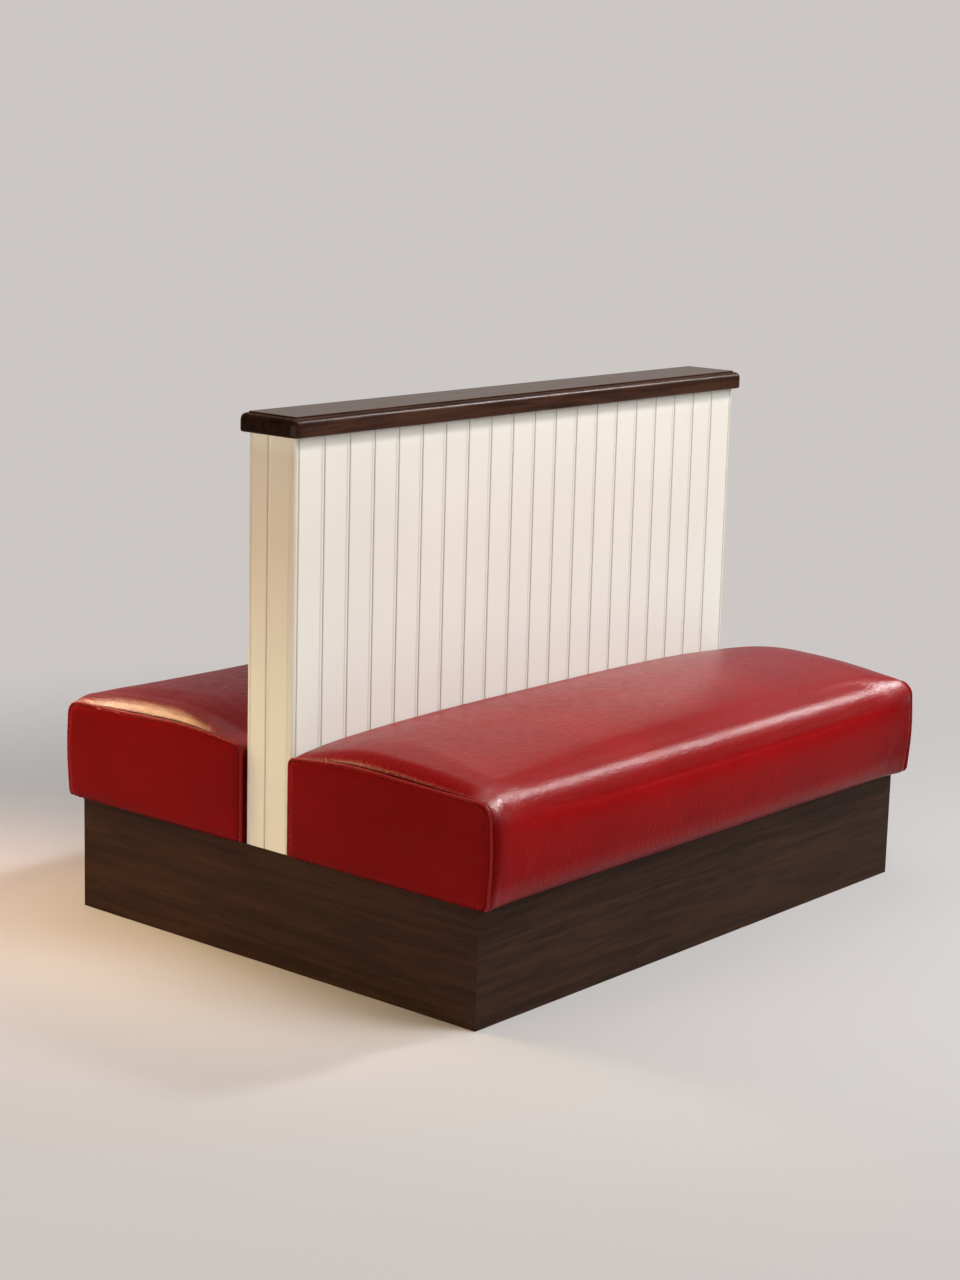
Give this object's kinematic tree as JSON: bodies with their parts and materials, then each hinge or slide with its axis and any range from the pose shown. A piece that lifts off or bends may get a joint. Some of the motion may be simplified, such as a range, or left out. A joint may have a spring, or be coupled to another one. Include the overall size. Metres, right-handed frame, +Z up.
{
  "type": "restaurant booth seating",
  "caption": "Double-sided restaurant booth: red vinyl seats back to back on a dark oak plinth, with a cream bead-board partition under a walnut cap rail.",
  "frame": {"origin": "on the floor under the middle of the booth", "axes": "+X along the booth, +Y from the front seat to the rear seat, +Z up"},
  "size_m": [1.432, 1.144, 1.0695],
  "materials": {
    "plinth_oak": "satin",
    "cream_paint": "satin",
    "cap_walnut": "gloss",
    "red_vinyl": "gloss",
    "seat_foam": "matte",
    "plywood": "matte",
    "plain_timber": "matte",
    "dust_cloth": "matte"
  },
  "bodies": {
    "booth_frame": {"base_front_panel": "plinth_oak", "base_rear_panel": "plinth_oak", "base_left_end_panel": "plinth_oak", "base_right_end_panel": "plinth_oak", "base_ribs": "plain_timber", "base_corner_blocks": "plain_timber", "partition_bottom_rail": "plain_timber", "partition_top_rail": "plain_timber", "partition_end_posts": "plain_timber", "partition_studs": "plain_timber", "partition_noggings": "plain_timber", "front_boards": "cream_paint", "rear_boards": "cream_paint", "left_end_boards": "cream_paint", "right_end_boards": "cream_paint", "corner_beads": "cream_paint", "cap_front_board": "cap_walnut", "cap_rear_board": "cap_walnut", "cap_spline": "plywood"},
    "front_seat": {"front_seat_deck": "plywood", "front_seat_cleats": "plain_timber", "front_seat_foam": "seat_foam", "front_seat_cover": "red_vinyl", "front_seat_left_end_cover": "red_vinyl", "front_seat_right_end_cover": "red_vinyl", "front_seat_welts": "red_vinyl", "front_seat_dust_cover": "dust_cloth"},
    "rear_seat": {"rear_seat_deck": "plywood", "rear_seat_cleats": "plain_timber", "rear_seat_foam": "seat_foam", "rear_seat_cover": "red_vinyl", "rear_seat_left_end_cover": "red_vinyl", "rear_seat_right_end_cover": "red_vinyl", "rear_seat_welts": "red_vinyl", "rear_seat_dust_cover": "dust_cloth"}
  },
  "joints": [
    {"name": "front_seat_lift", "type": "slide", "parent": "booth_frame", "child": "front_seat", "axis": [0, 0, 1], "range_m": [0, 0.2]},
    {"name": "rear_seat_lift", "type": "slide", "parent": "booth_frame", "child": "rear_seat", "axis": [0, 0, 1], "range_m": [0, 0.2]}
  ]
}
